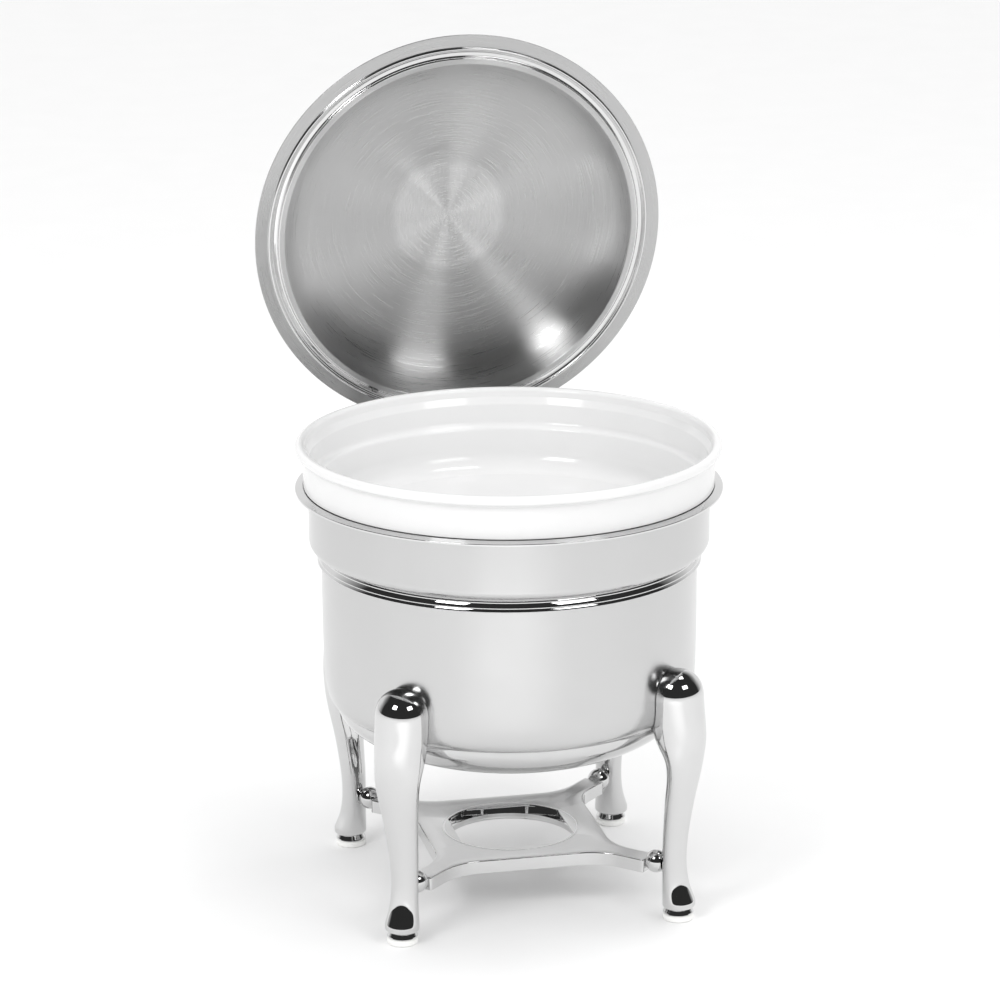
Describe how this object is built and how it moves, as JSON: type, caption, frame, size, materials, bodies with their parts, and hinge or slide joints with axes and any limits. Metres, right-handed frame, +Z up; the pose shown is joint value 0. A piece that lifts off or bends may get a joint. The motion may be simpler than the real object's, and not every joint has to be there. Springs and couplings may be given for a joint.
{
  "type": "roll top chafer",
  "caption": "Round food-warming chafer on cabriole legs: drum, lift-out water pan and white food pan, rear-hinged shallow lid held open, and a lower plate with a fuel-can well.",
  "frame": {"origin": "on the floor plane, under the drum's axis, at the middle of the four feet", "axes": "+Z up along the drum's axis; -Y is the front, where a server stands; the lid's hinge is at +Y, its line along X"},
  "size_m": [0.3074, 0.3836, 0.6041],
  "materials": {
    "polished_steel": "polished stainless sheet",
    "bright_steel": "mirror polished stainless",
    "satin_steel": "spun and brushed inside, polished outside",
    "chrome_plate": "bright plated casting",
    "fastener_steel": "plain stainless",
    "porcelain": "white glaze",
    "nylon": "white nylon",
    "rubber": "black rubber"
  },
  "bodies": {
    "base": {"drum_wall": "polished_steel", "drum_bottom": "polished_steel", "body_mouth_ring": "bright_steel", "leg_front_left": "chrome_plate", "leg_front_right": "chrome_plate", "leg_rear_left": "chrome_plate", "leg_rear_right": "chrome_plate", "foot_ferrules": "fastener_steel", "foot_pads": "nylon", "leg_screws": "fastener_steel", "leg_washers": "fastener_steel", "fuel_plate": "bright_steel", "fuel_well_ring": "bright_steel", "plate_balls": "chrome_plate", "plate_studs": "fastener_steel", "plate_nuts": "fastener_steel", "hinge_plate": "chrome_plate", "hinge_ears": "chrome_plate", "bracket_screws": "fastener_steel", "bracket_nuts": "fastener_steel", "hinge_pins": "fastener_steel", "hinge_washers": "nylon", "stop_pads": "rubber"},
    "water": {"water_pan": "polished_steel"},
    "food": {"food_pan": "porcelain"},
    "lid": {"lid_shell": "satin_steel", "hinge_arm_left": "chrome_plate", "hinge_arm_right": "chrome_plate", "lid_handle_bar": "chrome_plate", "lid_handle_posts": "chrome_plate"}
  },
  "joints": [
    {"name": "lid_hinge", "type": "hinge", "parent": "base", "child": "lid", "pos_m": [0, 0.1505, 0.29706], "axis": [1, 0, 0], "range_deg": [0, 81.74]},
    {"name": "water_pan_lift", "type": "slide", "parent": "base", "child": "water", "axis": [0, 0, 1], "range_m": [0, 0.21]},
    {"name": "food_pan_lift", "type": "slide", "parent": "water", "child": "food", "axis": [0, 0, 1], "range_m": [0, 0.16]}
  ]
}
